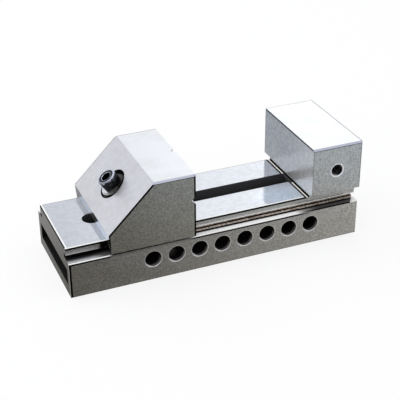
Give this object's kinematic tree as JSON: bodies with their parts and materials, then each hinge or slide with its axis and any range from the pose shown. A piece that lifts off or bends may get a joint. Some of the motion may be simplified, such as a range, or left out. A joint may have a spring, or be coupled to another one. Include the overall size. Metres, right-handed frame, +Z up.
{
  "type": "precision vise",
  "caption": "Low screwless precision vise of ground tool steel, with a sliding jaw on a rail, a sloped back with a tilted clamp screw, and a row of round cross holes in the base.",
  "frame": {"origin": "on the underside, at the middle of the overall length and width", "axes": "+X along the bed from the open tail end to the back of the fixed jaw, +Y across the jaws towards the side without the stop hole, +Z up from the underside to the jaw tops"},
  "size_m": [0.14, 0.05, 0.048],
  "materials": {
    "ground_steel": "surface ground, oiled",
    "turned_steel": "turned and hardened",
    "black_screw": "black oxide, satin"
  },
  "bodies": {
    "base": {"vise_body": "ground_steel"},
    "jaw": {"movable_jaw": "ground_steel", "seat_ring": "turned_steel", "keeper_strip_near": "ground_steel", "keeper_strip_far": "ground_steel", "keeper_screws": "black_screw"},
    "swivel": {"ball_washer": "turned_steel"},
    "screw": {"clamp_screw": "black_screw"},
    "bar": {"pull_bar": "turned_steel"}
  },
  "joints": [
    {"name": "jaw_slide", "type": "slide", "parent": "base", "child": "jaw", "axis": [1, 0, 0], "range_m": [-0.011, 0.0568]},
    {"name": "screw_tilt", "type": "hinge", "parent": "jaw", "child": "swivel", "pos_m": [-0.04482, 0, 0.04286], "axis": [0, -1, 0], "range_deg": [0, 1.1]},
    {"name": "screw_turn", "type": "hinge", "parent": "swivel", "child": "screw", "pos_m": [-0.04482, 0, 0.04286], "axis": [0.5519, 0, -0.8339], "range_deg": [0, 521]},
    {"name": "nut_travel", "type": "slide", "parent": "swivel", "child": "bar", "axis": [-0.5519, 0, 0.8339], "range_m": [0, 0.00116]}
  ],
  "couplings": [
    {"joint": "screw_turn", "follows": "nut_travel", "rad_per_m": 7854},
    {"joint": "screw_tilt", "follows": "nut_travel", "rad_per_m": 16.534}
  ]
}
